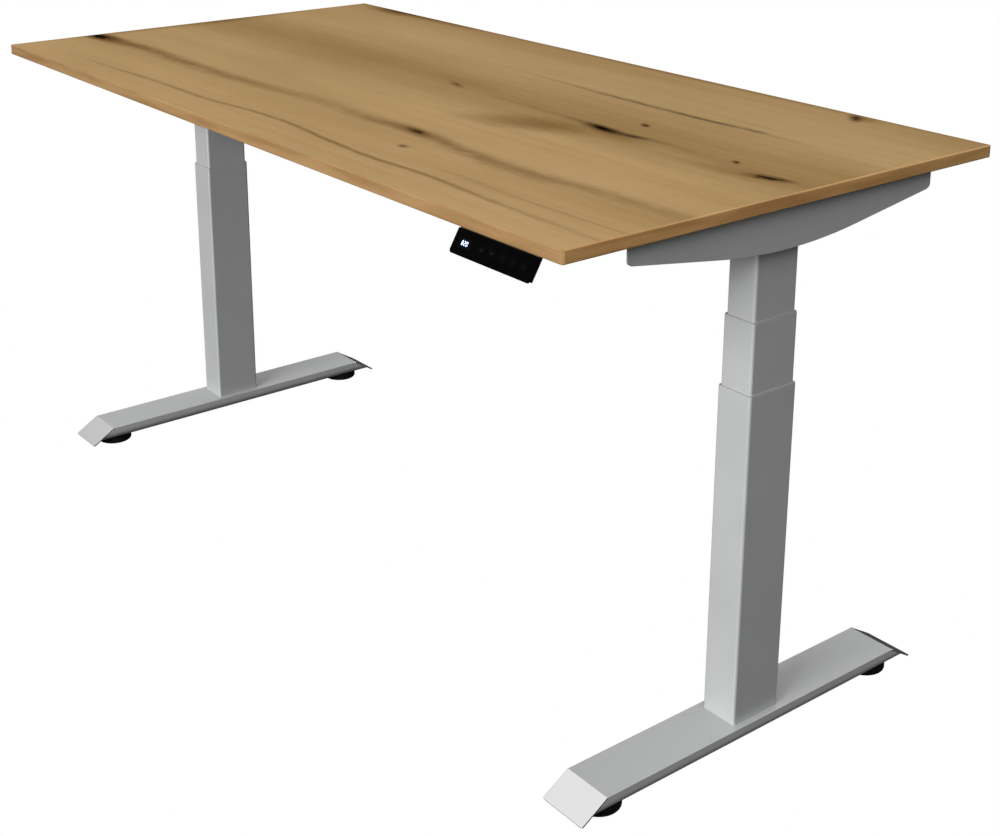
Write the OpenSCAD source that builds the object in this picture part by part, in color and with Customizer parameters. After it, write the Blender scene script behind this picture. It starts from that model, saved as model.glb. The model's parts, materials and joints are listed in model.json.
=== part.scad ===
// Height adjustable standing desk on two three-stage electric lifting columns.
// The origin is on the floor under the middle of the tabletop: +X right, +Y back, +Z up.

/* [Tabletop] */
// Width of the tabletop
top_w = 1600; // [1560:10:1900]
// Depth of the tabletop
top_d = 800; // [700:10:900]
// Thickness of the tabletop
top_t = 18; // [16:1:25]
// Height of the working surface above the floor
desk_h = 820; // [640:5:1270]

/* [Feet] */
// Distance from the middle of the desk to the middle of a column
column_x = 742; // [650:1:745]
// Width of a foot
foot_w = 80; // [76:1:90]
// Distance from the column to the end of a foot's level top
foot_y = 292; // [240:1:340]
// Height of a foot's level top above the floor
foot_top = 39; // [38:1:42]
// Slope of a foot's end plates, in degrees
end_slope = 31; // [20:1:40]
// Distance from the column to a levelling glide
glide_y = 273.5; // [200:0.5:280]

/* [Columns] */
// Width of the outer tube, across the desk
outer_w = 60; // [58:1:70]
// Depth of the outer tube, front to back
outer_d = 90; // [80:1:100]
// Height of the outer tube's top above the floor
outer_top = 539; // [520:1:560]
// Wall of every tube
wall = 1.5; // [1.2:0.1:1.6]
// Step from one tube to the next, on each side
tube_step = 2.5; // [2.5:0.1:3.5]

/* [Frame under the tabletop] */
// Depth of a side bracket at the column
bracket_h = 59; // [56:1:70]
// Distance from the column to the end of a side bracket
bracket_y = 285; // [260:1:320]

/* [Handset] */
// Distance from the middle of the desk to the middle of the handset
handset_x = 684; // [200:1:690]
// Width of the handset
handset_w = 154; // [140:1:160]
// Lean of the handset's face from upright, in degrees
handset_lean = 30.5; // [20:0.5:40]

/* [Hidden] */
$fn = 64;

LEFT = -1;
RIGHT = 1;
FRONT = -1;
REAR = 1;
silver = [0.70, 0.71, 0.71];
steel = [0.58, 0.59, 0.60];
zinc = [0.75, 0.75, 0.72];
black = [0.05, 0.05, 0.05];
oak = [0.70, 0.54, 0.34];
gap = 0.2;           // sliding clearance of the plastic bushes, on each side
fit = 0.05;          // running clearance of threads and journals

// Heights of the lifting stages
board_z = desk_h - top_t;
frame_z = board_z - bracket_h;
reveal = 7;          // what each tube shows above the next one at the lowest setting
lowest_h = outer_top + 2 * reveal + bracket_h + top_t;
stage = (desk_h - lowest_h) / 2;
middle_top = outer_top + reveal + stage;
lip_t = 1.5;         // bush flange that lies on a tube's end
tube_r = 4;          // corner radius of every tube
middle_w = outer_w - 2 * tube_step;
middle_d = outer_d - 2 * tube_step;
inner_w = middle_w - 2 * tube_step;
inner_d = middle_d - 2 * tube_step;
middle_bottom = middle_top - 490;
inner_bottom = frame_z - 471;
plug_h = 14;         // how far the blocks reach up into their tubes
shoe_h = 5;          // guide shoe under a tube's end
base_plate_t = 6;

// Lifting screws
rod_r = 6;
drive_r = 8.9;
bore_r = 9.3;
screw_r = 13;
journal_r = 11;
bearing_r = 19;
bearing_h = 10;
screw_top = middle_top - 10;
drive_bottom = frame_z - 481;
drive_top = frame_z + 17;

// Feet
foot_h = 25;
foot_wall = 2;
under_z = foot_top - foot_h;
plate_t = 2.5;
plate_l = 52;
bolt_x = 18;
bolt_y = 28;
stud_r = 4;

// Frame
sheet = 2.5;
web_x = 43;          // outer face of a bracket's web, from the column's axis
web_hang = 2.5;      // how far a web reaches below the strip welded to it
flange_x = 45;       // inner edge of a bracket's top flange, from the column's axis
bend_y = 130;        // where the bracket's curved belly turns into straight slopes
belly_r = 870;
belly_end = belly_r - sqrt(pow(belly_r, 2) - pow(bend_y, 2));
belly_slope = bend_y / sqrt(pow(belly_r, 2) - pow(bend_y, 2));
gear_z = frame_z + sheet;
gear_y = 45;
gear_h = 51;
motor_r = 24;
motor_l = 145;
rail_w = 30;
rail_h = 22;
rail_z = board_z - 30;
rail_l = 2 * (column_x + 28);
rail_bolt_z = rail_z + rail_h / 2;
rail_bolt_x = 15;

// Board
band_t = 2;
arris = 1.8;
pilot_depth = 12;

// Control box and cables
box_w = 280;
box_d = 110;
box_h = 32;
box_y = 165;
inlet_x = -100;
cable_r = 2.5;
cable_z = board_z - 3.2;
motor_end = column_x - 30 - motor_l;
motor_route = [
  [-motor_end, 0, frame_z + 28], [-motor_end + 27, 0, frame_z + 28], [-motor_end + 27, 0, cable_z],
  [-motor_end + 27, box_y, cable_z], [-box_w / 2 - 24, box_y, cable_z],
  [-box_w / 2 - 24, box_y, board_z - 16], [-box_w / 2, box_y, board_z - 16]
];
handset_route = [
  [handset_x, -360, board_z - 10], [handset_x, -325, board_z - 10], [handset_x, -325, cable_z],
  [handset_x, box_y + 30, cable_z], [box_w / 2 + 40, box_y + 30, cable_z],
  [box_w / 2 + 40, box_y + 30, board_z - 16], [box_w / 2, box_y + 30, board_z - 16]
];
clip_spots = [
  [-motor_end + 27, 110, 90], [-420, box_y, 0], [-260, box_y, 0],
  [motor_end - 27, 110, 90], [420, box_y, 0], [260, box_y, 0],
  [handset_x, -250, 90], [handset_x, -120, 90], [handset_x, 130, 90], [600, box_y + 30, 0],
  [360, box_y + 30, 0]
];

// Handset
face_l = 32.8;       // height of the handset's face along its slope
face_low = [0, -top_d / 2 - 17, board_z - 28.5];
panel_t = 1.6;
key_w = 15;
key_h = 12;
key_deep = 3.2;
key_proud = 0.3;
pocket_deep = 4.4;   // depth of the pockets the keys are pushed into
case_deep = 5.8;     // thickness of the handset's casing, with its panel
case_inset = 1;      // how far the casing stands in from the panel's ends
case_low = 2.5;      // where the casing starts above the panel's lower edge
key_gap = 0.25;
key_names = ["up", "down", "one", "two", "three"];
function key_x(i) = -22 + i * 20;
display_x = -55;
display_w = 24;
display_h = 13;

// Every screw that goes up into the board: [x, y, height of what it clamps]
bracket_screws = [
  for (s = [LEFT, RIGHT]) for (y = [-255, -150, 150, 255]) [s * (column_x - 20), y, sheet]
];
box_screws = [
  for (x = [-box_w / 2 + 16, box_w / 2 - 16]) for (e = [FRONT, REAR]) [x, box_y + e * (box_d / 2 + 7), 3]
];
handset_screws = [for (s = [LEFT, RIGHT]) [handset_x + s * 22, -344, 4]];
all_board_screws = concat(bracket_screws, box_screws, handset_screws);

// Puts a part drawn about a column's axis on the left or right of the desk
module on_side(s) {
  mirror([s == LEFT ? 1 : 0, 0, 0]) translate([column_x, 0, 0]) children();
}

// Turns a part drawn for the front end of a foot to the rear
module at_end(e) {
  mirror([0, e == REAR ? 1 : 0, 0]) children();
}

module rounded_rect(w, d, r) {
  square([w - 2 * r, d], center = true);
  square([w, d - 2 * r], center = true);
  for (x = [-1, 1]) for (y = [-1, 1]) translate([x * (w / 2 - r), y * (d / 2 - r)]) circle(r);
}

module rounded_ring(w, d, r, inner_gap, inner_r) {
  difference() {
    rounded_rect(w, d, r);
    rounded_rect(w - 2 * inner_gap, d - 2 * inner_gap, inner_r);
  }
}

// A rectangular steel tube standing on z0
module column_tube(w, d, z0, z1) {
  translate([0, 0, z0]) linear_extrude(z1 - z0) rounded_ring(w, d, tube_r, wall, tube_r - wall);
}

// A straight round bar from one height to another
module bar(r, z0, z1) {
  translate([0, 0, z0]) cylinder(r = r, h = z1 - z0);
}

// ---- Feet ----

// Section of a foot: crisp upper edges and a deeply rounded underside
module foot_section(inset) {
  w = foot_w - 2 * inset;
  h = foot_h - 2 * inset;
  top_r = 1;
  low_r = 15 - inset;
  translate([0, inset]) {
    translate([low_r - w / 2, 0]) square([w - 2 * low_r, h]);
    translate([-w / 2, low_r]) square([w, h - low_r - top_r]);
    translate([top_r - w / 2, low_r]) square([w - 2 * top_r, h - low_r]);
    intersection() {
      translate([-w / 2, 0]) square([w, low_r + 2]);
      for (x = [-1, 1]) translate([x * (w / 2 - low_r), low_r]) circle(low_r);
    }
    for (x = [-1, 1]) translate([x * (w / 2 - top_r), h - top_r]) circle(top_r);
  }
}

// Frame of the front end plate: its origin is the fold line, -Y runs down the slope
module end_frame() {
  translate([0, -foot_y, foot_top]) rotate([end_slope, 0, 0]) children();
}

module foot_beam() {
  length = 2 * (foot_y + 60);
  color(silver)
    difference() {
      translate([0, length / 2, under_z]) rotate([90, 0, 0]) linear_extrude(length) difference() {
        foot_section(0);
        foot_section(foot_wall);
      }
      for (e = [FRONT, REAR]) at_end(e) {
        end_frame() translate([-foot_w, -120, -plate_t]) cube([2 * foot_w, 120, 80]);
        translate([0, -glide_y, under_z - 1]) cylinder(r = stud_r + 0.6, h = foot_wall + 2);
      }
      for (x = [-bolt_x, bolt_x]) for (y = [-bolt_y, bolt_y]) translate([x, y, 0]) {
        bar(4.5, foot_top - foot_wall - 1, foot_top + 1);
        bar(8, under_z - 1, under_z + foot_wall + 1);
      }
    }
}

// Plate that closes a foot's end, with rounded lower corners
module end_plate() {
  r = 3.5;
  color("white") end_frame() translate([0, 0, -plate_t]) linear_extrude(plate_t) {
    translate([-foot_w / 2, r - plate_l]) square([foot_w, plate_l - r]);
    translate([r - foot_w / 2, -plate_l]) square([foot_w - 2 * r, plate_l]);
    for (x = [-1, 1]) translate([x * (foot_w / 2 - r), r - plate_l]) circle(r);
  }
}

module foot_bolt() {
  bar(6.5, foot_top - foot_wall - 6, foot_top - foot_wall);
  bar(3.95, foot_top - foot_wall, foot_top + base_plate_t + 1);
}

module foot_bolts() {
  color(zinc) for (s = [LEFT, RIGHT]) on_side(s)
    for (x = [-bolt_x, bolt_x]) for (y = [-bolt_y, bolt_y]) translate([x, y, 0]) foot_bolt();
}

module glide_nuts() {
  z0 = under_z + foot_wall;
  color(zinc) for (s = [LEFT, RIGHT]) on_side(s) for (e = [FRONT, REAR]) at_end(e)
    translate([0, -glide_y, z0]) difference() {
      cylinder(r = 8, h = 6, $fn = 6);
      translate([0, 0, -1]) cylinder(r = stud_r + fit, h = 8);
    }
}

// Round levelling glide with a softly rounded lower rim and a threaded stud
module glide() {
  rim = 3;
  disc_r = 33.5;
  disc_h = under_z - 2;
  color(black) translate([0, -glide_y, 0]) {
    rotate_extrude() {
      square([disc_r - rim, disc_h]);
      translate([0, rim]) square([disc_r, disc_h - rim]);
      translate([disc_r - rim, rim]) circle(rim);
    }
    bar(12, disc_h, under_z - 0.6);
    bar(stud_r, disc_h, foot_top - foot_wall - 0.6);
  }
}

// ---- Columns ----

module outer_tube() {
  color(silver) {
    column_tube(outer_w, outer_d, foot_top, outer_top - lip_t);
    translate([0, 0, foot_top]) linear_extrude(base_plate_t) difference() {
      rounded_rect(outer_w - 2, outer_d - 2, tube_r - 1);
      for (x = [-bolt_x, bolt_x]) for (y = [-bolt_y, bolt_y]) translate([x, y]) circle(4);
    }
  }
}

// Plastic bush in the mouth of a tube: a lip on the tube's end and a skirt down inside it
module mouth_bush(w, d, top) {
  skirt_h = 30;
  inside = tube_r + gap;
  bore = tube_step - gap;
  color(black) difference() {
    union() {
      translate([0, 0, top - lip_t]) linear_extrude(lip_t) rounded_rect(w - 0.6, d - 0.6, tube_r);
      translate([0, 0, top - lip_t - skirt_h]) linear_extrude(skirt_h + 0.1)
        rounded_rect(w - 2 * wall, d - 2 * wall, tube_r - wall);
    }
    translate([0, 0, top - 60]) linear_extrude(70) rounded_rect(w - 2 * bore, d - 2 * bore, inside);
  }
}

module fixed_screw() {
  z0 = foot_top + base_plate_t;
  color(steel) {
    bar(15, z0, z0 + 4);
    bar(rod_r, z0, outer_top - 10);
  }
}

module middle_tube() {
  color(silver) column_tube(middle_w, middle_d, middle_bottom, middle_top - lip_t);
}

// End block of a tube: a guide shoe below the tube and a plug up inside it
module end_block(w, d, z0, plug) {
  translate([0, 0, z0 - shoe_h]) linear_extrude(shoe_h)
    rounded_rect(w + 2 * (tube_step - wall - gap), d + 2 * (tube_step - wall - gap), tube_r - wall);
  translate([0, 0, z0 - 0.5]) linear_extrude(plug + 0.5)
    rounded_rect(w - 2 * wall - 0.1, d - 2 * wall - 0.1, tube_r - wall);
}

module bearing_block() {
  color(zinc) difference() {
    end_block(middle_w, middle_d, middle_bottom, plug_h);
    bar(journal_r + 1, middle_bottom - shoe_h - 1, middle_bottom + plug_h + 1);
    bar(bearing_r, middle_bottom, middle_bottom + plug_h + 1);
  }
}

module screw_bearing() {
  color(steel) difference() {
    bar(bearing_r - fit, middle_bottom, middle_bottom + bearing_h);
    bar(journal_r + fit, middle_bottom - 1, middle_bottom + bearing_h + 1);
  }
}

// Hollow screw that turns in the middle tube, threaded on the fixed screw below
module screw_tube() {
  shoulder = middle_bottom + bearing_h + 0.3;
  color(steel) difference() {
    union() {
      bar(journal_r, middle_bottom - shoe_h + 0.5, shoulder);
      bar(screw_r, shoulder, screw_top);
    }
    bar(rod_r + fit, middle_bottom - shoe_h - 1, screw_top + 1);
    bar(bore_r, shoulder + 2, screw_top + 1);
  }
}

// Hexagonal drive tube that hangs from the gearbox and slides in the hollow screw
module drive_tube() {
  color(zinc) difference() {
    union() {
      translate([0, 0, drive_bottom]) cylinder(r = drive_r, h = frame_z - 5 - drive_bottom, $fn = 6);
      bar(8.5, frame_z - 6, drive_top);
    }
    bar(rod_r + 0.6, drive_bottom - 1, drive_top - 6);
  }
}

module inner_tube() {
  color(silver) difference() {
    union() {
      column_tube(inner_w, inner_d, inner_bottom, frame_z);
      translate([0, 0, frame_z - 3]) linear_extrude(3) rounded_rect(inner_w - 2, inner_d - 2, tube_r - 1);
    }
    bar(12, frame_z - 4, frame_z + 1);
    for (x = [-15, 15]) for (y = [-bolt_y, bolt_y]) translate([x, y, 0]) bar(3.2, frame_z - 4, frame_z + 1);
  }
}

module nut_block() {
  color(zinc) difference() {
    end_block(inner_w, inner_d, inner_bottom, 25);
    bar(screw_r + fit, inner_bottom - shoe_h - 1, inner_bottom + 26);
  }
}

// ---- Frame under the tabletop ----

// Height of a bracket's lower edge below the board, at distance y from the column
function belly(y) = abs(y) < bend_y
  ? -bracket_h + belly_r - sqrt(pow(belly_r, 2) - pow(y, 2))
  : -bracket_h + belly_end + (abs(y) - bend_y) * belly_slope;

// Draws an outline given in Y and Z as a sheet that reaches from x0 to x1
module along_x(x0, x1) {
  translate([x0, 0, board_z]) rotate([90, 0, 90]) linear_extrude(x1 - x0) children();
}

module bracket_web() {
  end_h = web_hang - belly(bracket_y);
  intersection() {
    polygon(concat(
      [[-bracket_y, 0]],
      [for (y = [-bracket_y, each [-bend_y : 10 : bend_y], bracket_y]) [y, belly(y) - web_hang]],
      [[bracket_y, 0]]
    ));
    union() {
      rounded_rect(2 * bracket_y, 2 * end_h, 6);
      square([2 * bracket_y - 12, 400], center = true);
    }
  }
}

module side_bracket() {
  strip_y = 225;
  strip = [-strip_y, each [-bend_y : 10 : bend_y], strip_y];
  color(silver) difference() {
    union() {
      along_x(web_x - sheet, web_x) bracket_web();
      along_x(-25, web_x - 0.5) polygon(concat(
        [for (y = strip) [y, belly(y)]],
        [for (i = [len(strip) - 1 : -1 : 0]) [strip[i], belly(strip[i]) + sheet]]
      ));
      translate([-flange_x, -bracket_y, board_z - sheet])
        cube([flange_x + web_x - 0.5, 2 * bracket_y, sheet]);
    }
    bar(12, frame_z - 2, gear_z + 2);
    for (x = [-15, 15]) for (y = [-bolt_y, bolt_y]) translate([x, y, 0]) bar(3.2, frame_z - 2, gear_z + 2);
    for (y = [-255, -150, 150, 255]) translate([-20, y, 0]) bar(2.5, board_z - sheet - 1, board_z + 1);
  }
}

// Gearbox on the bracket's belly, with an underside cast to its curve
module gearbox() {
  steps = [for (i = [-5 : 5]) 10 * i];
  underside = concat(
    [for (y = steps) [y, belly(y) + sheet + fit]],
    [[gear_y + 5, gear_z + gear_h - board_z], [-gear_y - 5, gear_z + gear_h - board_z]]
  );
  color(black) difference() {
    intersection() {
      translate([4, 0, gear_z]) linear_extrude(gear_h) rounded_rect(68, 2 * gear_y, 4);
      along_x(-40, 50) polygon(underside);
    }
    bar(8.6, gear_z - 1, drive_top + 2);
    for (x = [-15, 15]) for (y = [-bolt_y, bolt_y]) translate([x, y, 0]) bar(3, gear_z - 1, gear_z + 13);
    for (x = [-rail_bolt_x, rail_bolt_x]) translate([x, 0, rail_bolt_z]) for (s = [-1, 1])
      translate([0, s * (gear_y - 10), 0]) rotate([90, 0, 0]) cylinder(r = 3, h = 24, center = true);
  }
}

// Motor that lies under the board and reaches inwards from its gearbox
module motor() {
  color(black) translate([-30, 0, gear_z + gear_h / 2]) rotate([0, -90, 0]) {
    cylinder(r = motor_r, h = motor_l - 12);
    translate([0, 0, motor_l - 12]) cylinder(r = motor_r - 4, h = 12);
  }
}

module rail() {
  color(steel) difference() {
    translate([-rail_l / 2, 0, rail_bolt_z]) rotate([90, 0, 90]) linear_extrude(rail_l)
      rounded_ring(rail_w, rail_h, 2.5, 2, 0.8);
    for (s = [LEFT, RIGHT]) for (x = [-rail_bolt_x, rail_bolt_x])
      translate([s * column_x + x, 0, rail_bolt_z]) rotate([90, 0, 0])
        cylinder(r = 3.2, h = rail_w + 2, center = true);
  }
}

module frame_bolts() {
  color(zinc) for (s = [LEFT, RIGHT]) on_side(s) {
    for (x = [-15, 15]) for (y = [-bolt_y, bolt_y]) translate([x, y, 0]) {
      bar(5, frame_z - 7, frame_z - 3);
      bar(2.95, frame_z - 3, gear_z + 12);
    }
    for (x = [-rail_bolt_x, rail_bolt_x]) for (e = [FRONT, REAR]) at_end(e)
      translate([x, -gear_y - rail_w - 4, rail_bolt_z]) rotate([-90, 0, 0]) {
        cylinder(r = 5, h = 4);
        cylinder(r = 2.95, h = rail_w + 15);
      }
  }
}

// ---- Tabletop ----

// The whole board with its arrises rounded
module board() {
  translate([0, 0, board_z + top_t / 2]) intersection() {
    rotate([90, 0, 90]) linear_extrude(top_w, center = true) rounded_rect(top_d, top_t, arris);
    rotate([90, 0, 0]) linear_extrude(top_d, center = true) rounded_rect(top_w, top_t, arris);
    linear_extrude(top_t, center = true) rounded_rect(top_w, top_d, 4);
  }
}

module tabletop() {
  color(oak) difference() {
    translate([-top_w / 2 + band_t, -top_d / 2 + band_t, board_z])
      cube([top_w - 2 * band_t, top_d - 2 * band_t, top_t]);
    for (p = all_board_screws) translate([p[0], p[1], 0]) bar(2, board_z - 1, board_z + pilot_depth);
  }
}

module edge_bands() {
  color(oak) for (s = [-1, 1]) {
    intersection() {
      board();
      translate([-top_w / 2, s * (top_d - band_t) / 2 - band_t / 2, board_z]) cube([top_w, band_t, top_t]);
    }
    intersection() {
      board();
      translate([s * (top_w - band_t) / 2 - band_t / 2, -top_d / 2 + band_t + fit, board_z])
        cube([band_t, top_d - 2 * band_t - 2 * fit, top_t]);
    }
  }
}

module board_screws() {
  color(zinc) for (p = all_board_screws) translate([p[0], p[1], 0]) {
    bar(4, board_z - p[2] - 2.5, board_z - p[2]);
    bar(1.95, board_z - p[2], board_z + pilot_depth - 0.5);
  }
}

// ---- Control box and cables ----

module inlet_cut(grow) {
  translate([inlet_x, box_y + box_d / 2, board_z - 16]) rotate([-90, 0, 0])
    linear_extrude(60, center = true) square([30 + grow, 22 + grow], center = true);
}

module control_box() {
  low = [-box_w / 2, box_y - box_d / 2, board_z - box_h];
  skin = 2.5;
  color(black) difference() {
    union() {
      translate([0, box_y, board_z - box_h]) linear_extrude(box_h) rounded_rect(box_w, box_d, 4);
      for (p = box_screws) translate([p[0] - 9, p[1] - 9, board_z - 3]) cube([18, 18, 3]);
    }
    translate(low + [skin, skin, skin]) cube([box_w - 2 * skin, box_d - 2 * skin, box_h - 2 * skin]);
    for (p = box_screws) translate([p[0], p[1], 0]) bar(2.5, board_z - 4, board_z + 1);
    intersection() {
      inlet_cut(0);
      translate([inlet_x - 40, box_y, board_z - 40]) cube([80, 80, 60]);
    }
  }
}

// Three-pin appliance inlet on the back of the control box
module mains_inlet() {
  face = box_y + box_d / 2;
  deep = 22;
  z = board_z - 16;
  color(black) {
    difference() {
      union() {
        translate([inlet_x - 15 + fit, face - deep - 2, z - 11 + fit])
          cube([30 - 2 * fit, deep + 2, 22 - 2 * fit]);
        translate([inlet_x - 18, face, z - 12.5]) cube([36, 2, 25]);
      }
      translate([inlet_x - 12.5, face - deep, z - 8.5]) cube([25, deep + 3, 17]);
    }
    for (p = [[-7, -2], [0, 2], [7, -2]])
      translate([inlet_x + p[0] - 1, face - deep - 0.5, z + p[1] - 2]) cube([2, deep - 7, 4]);
  }
}

// A cable held along straight runs, with round elbows
module cable(route) {
  for (i = [0 : len(route) - 2]) {
    run = route[i + 1] - route[i];
    translate(route[i]) rotate([0, acos(run[2] / norm(run)), atan2(run[1], run[0])])
      cylinder(r = cable_r, h = norm(run), $fn = 24);
    if (i > 0) translate(route[i]) sphere(cable_r, $fn = 24);
  }
}

module control_cables() {
  color(black) {
    cable(motor_route);
    mirror([1, 0, 0]) cable(motor_route);
    cable(handset_route);
  }
}

// Clip [x, y, turn] glued under the board, open round the cable
module cable_clips() {
  color(black) for (p = clip_spots) translate([p[0], p[1], cable_z]) rotate([0, 0, p[2]]) difference() {
    translate([-5, -7, -5]) cube([10, 14, board_z - cable_z + 5]);
    rotate([0, 90, 0]) cylinder(r = cable_r + 0.1, h = 12, center = true, $fn = 24);
  }
}

// ---- Handset ----

// Frame of the handset's face: +Y runs up the slope, +Z stands out of the face
module on_face() {
  translate(face_low + [handset_x, 0, 0]) rotate([90 - handset_lean, 0, 0]) children();
}

module key_holes(z0, z1) {
  for (i = [0 : len(key_names) - 1]) translate([key_x(i), face_l / 2, z0]) linear_extrude(z1 - z0)
    rounded_rect(key_w + 2 * key_gap, key_h + 2 * key_gap, 2 + key_gap);
}

module display_block(z0, z1) {
  translate([display_x, face_l / 2, z0]) linear_extrude(z1 - z0) rounded_rect(display_w, display_h, 1);
}

module handset_panel() {
  corner = 5;
  color(black) on_face() difference() {
    translate([0, 0, -panel_t]) linear_extrude(panel_t) {
      translate([0, (face_l + corner) / 2]) square([handset_w, face_l - corner], center = true);
      translate([0, corner / 2]) square([handset_w - 2 * corner, corner], center = true);
      for (s = [-1, 1]) translate([s * (handset_w / 2 - corner), corner]) circle(corner);
    }
    key_holes(-panel_t - 1, 1);
    display_block(-panel_t - 1, 1);
  }
}

// Point in Y and Z at a distance up the slope of the face and a depth behind it
function on_slope(up, deep) = [
  face_low[1] + up * sin(handset_lean) + deep * cos(handset_lean),
  face_low[2] + up * cos(handset_lean) - deep * sin(handset_lean)
];

// How far up the slope the board's underside is met, at a depth behind the face
function slope_end(deep) = (board_z - face_low[2] + deep * sin(handset_lean)) / cos(handset_lean);

// Casing behind the panel, closed against the board, with a neck screwed up into it
module handset_housing() {
  case_w = handset_w - 2 * case_inset;
  neck_w = 60;
  casing = [
    on_slope(case_low, panel_t), on_slope(case_low, case_deep),
    on_slope(slope_end(case_deep), case_deep), on_slope(slope_end(panel_t), panel_t)
  ];
  neck = [
    [-408, board_z - 22], [-396, board_z], [-335, board_z], [-335, board_z - 4],
    [-355, board_z - 4], [-355, board_z - 16], [-385, board_z - 18]
  ];
  color(black) difference() {
    union() {
      translate([handset_x - case_w / 2, 0, 0]) rotate([90, 0, 90]) linear_extrude(case_w) polygon(casing);
      translate([handset_x - neck_w / 2, 0, 0]) rotate([90, 0, 90]) linear_extrude(neck_w) polygon(neck);
    }
    on_face() key_holes(-pocket_deep, 0);
    for (p = handset_screws) translate([p[0], p[1], 0]) bar(2.5, board_z - 5, board_z + 1);
    translate(handset_route[0]) rotate([-90, 0, 0]) cylinder(r = cable_r + 0.1, h = 40, $fn = 24);
  }
}

module handset_display() {
  color([0.2, 0.25, 0.4]) on_face() display_block(-panel_t, -0.2);
}

module button(i) {
  color(black) on_face() translate([key_x(i), face_l / 2, -key_deep])
    linear_extrude(key_deep + key_proud) rounded_rect(key_w, key_h, 2);
}

on_side(LEFT) foot_beam();  // foot_beam_left
on_side(RIGHT) foot_beam();  // foot_beam_right
on_side(LEFT) at_end(FRONT) end_plate();  // end_plate_front_left
on_side(LEFT) at_end(REAR) end_plate();  // end_plate_rear_left
on_side(RIGHT) at_end(FRONT) end_plate();  // end_plate_front_right
on_side(RIGHT) at_end(REAR) end_plate();  // end_plate_rear_right
foot_bolts();
glide_nuts();
on_side(LEFT) at_end(FRONT) glide();  // glide_front_left
on_side(LEFT) at_end(REAR) glide();  // glide_rear_left
on_side(RIGHT) at_end(FRONT) glide();  // glide_front_right
on_side(RIGHT) at_end(REAR) glide();  // glide_rear_right
on_side(LEFT) outer_tube();  // outer_tube_left
on_side(RIGHT) outer_tube();  // outer_tube_right
on_side(LEFT) mouth_bush(outer_w, outer_d, outer_top);  // outer_bush_left
on_side(RIGHT) mouth_bush(outer_w, outer_d, outer_top);  // outer_bush_right
on_side(LEFT) fixed_screw();  // fixed_screw_left
on_side(RIGHT) fixed_screw();  // fixed_screw_right
on_side(LEFT) middle_tube();  // middle_tube_left
on_side(RIGHT) middle_tube();  // middle_tube_right
on_side(LEFT) mouth_bush(middle_w, middle_d, middle_top);  // middle_bush_left
on_side(RIGHT) mouth_bush(middle_w, middle_d, middle_top);  // middle_bush_right
on_side(LEFT) bearing_block();  // bearing_block_left
on_side(RIGHT) bearing_block();  // bearing_block_right
on_side(LEFT) screw_bearing();  // screw_bearing_left
on_side(RIGHT) screw_bearing();  // screw_bearing_right
on_side(LEFT) screw_tube();  // screw_tube_left
on_side(RIGHT) screw_tube();  // screw_tube_right
on_side(LEFT) drive_tube();  // drive_tube_left
on_side(RIGHT) drive_tube();  // drive_tube_right
on_side(LEFT) inner_tube();  // inner_tube_left
on_side(RIGHT) inner_tube();  // inner_tube_right
on_side(LEFT) nut_block();  // nut_block_left
on_side(RIGHT) nut_block();  // nut_block_right
on_side(LEFT) gearbox();  // gearbox_left
on_side(RIGHT) gearbox();  // gearbox_right
on_side(LEFT) motor();  // motor_left
on_side(RIGHT) motor();  // motor_right
on_side(LEFT) side_bracket();  // side_bracket_left
on_side(RIGHT) side_bracket();  // side_bracket_right
translate([0, -gear_y - rail_w / 2, 0]) rail();  // rail_front
translate([0, gear_y + rail_w / 2, 0]) rail();  // rail_rear
frame_bolts();
tabletop();
edge_bands();
board_screws();
control_box();
mains_inlet();
control_cables();
cable_clips();
handset_housing();
handset_panel();
handset_display();
button(0);  // button_up
button(1);  // button_down
button(2);  // button_one
button(3);  // button_two
button(4);  // button_three
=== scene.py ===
"""Looks of the height adjustable standing desk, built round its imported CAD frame.

All lengths are in metres.
"""
import json
import math

import bmesh
import bpy
from mathutils import Matrix, Vector


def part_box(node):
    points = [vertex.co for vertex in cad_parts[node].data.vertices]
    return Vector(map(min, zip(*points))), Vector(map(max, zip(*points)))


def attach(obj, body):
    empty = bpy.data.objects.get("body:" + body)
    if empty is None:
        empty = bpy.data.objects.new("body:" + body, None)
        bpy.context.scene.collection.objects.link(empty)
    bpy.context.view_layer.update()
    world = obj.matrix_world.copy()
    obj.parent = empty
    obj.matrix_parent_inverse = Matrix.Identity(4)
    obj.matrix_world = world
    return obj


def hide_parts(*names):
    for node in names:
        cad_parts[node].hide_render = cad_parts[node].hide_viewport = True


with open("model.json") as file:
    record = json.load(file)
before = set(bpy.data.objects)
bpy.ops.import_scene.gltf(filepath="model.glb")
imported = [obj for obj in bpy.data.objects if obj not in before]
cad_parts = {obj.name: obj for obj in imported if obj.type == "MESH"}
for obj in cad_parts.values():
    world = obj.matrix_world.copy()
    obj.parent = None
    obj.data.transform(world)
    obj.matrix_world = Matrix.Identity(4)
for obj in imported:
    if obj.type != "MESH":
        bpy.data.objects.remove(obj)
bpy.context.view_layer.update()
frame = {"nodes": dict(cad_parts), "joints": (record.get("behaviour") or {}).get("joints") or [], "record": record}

NODES = frame["nodes"]
SIDES = ("left", "right")
# Radius of a control cable
CABLE_R = 0.0025
# Edges that bend by more than this stay sharp
SMOOTH_ANGLE = math.radians(35.0)


# ---- Shader building ----

def plug(tree, socket, value):
    """Links a node's output to a socket, or gives the socket a plain value."""
    if isinstance(value, bpy.types.NodeSocket):
        tree.links.new(value, socket)
    else:
        socket.default_value = value


def add_node(tree, kind, inputs=None, **settings):
    """Adds a node with its settings made and its inputs plugged."""
    node = tree.nodes.new(kind)
    for key, value in settings.items():
        setattr(node, key, value)
    for key, value in (inputs or {}).items():
        plug(tree, node.inputs[key], value)
    return node


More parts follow.
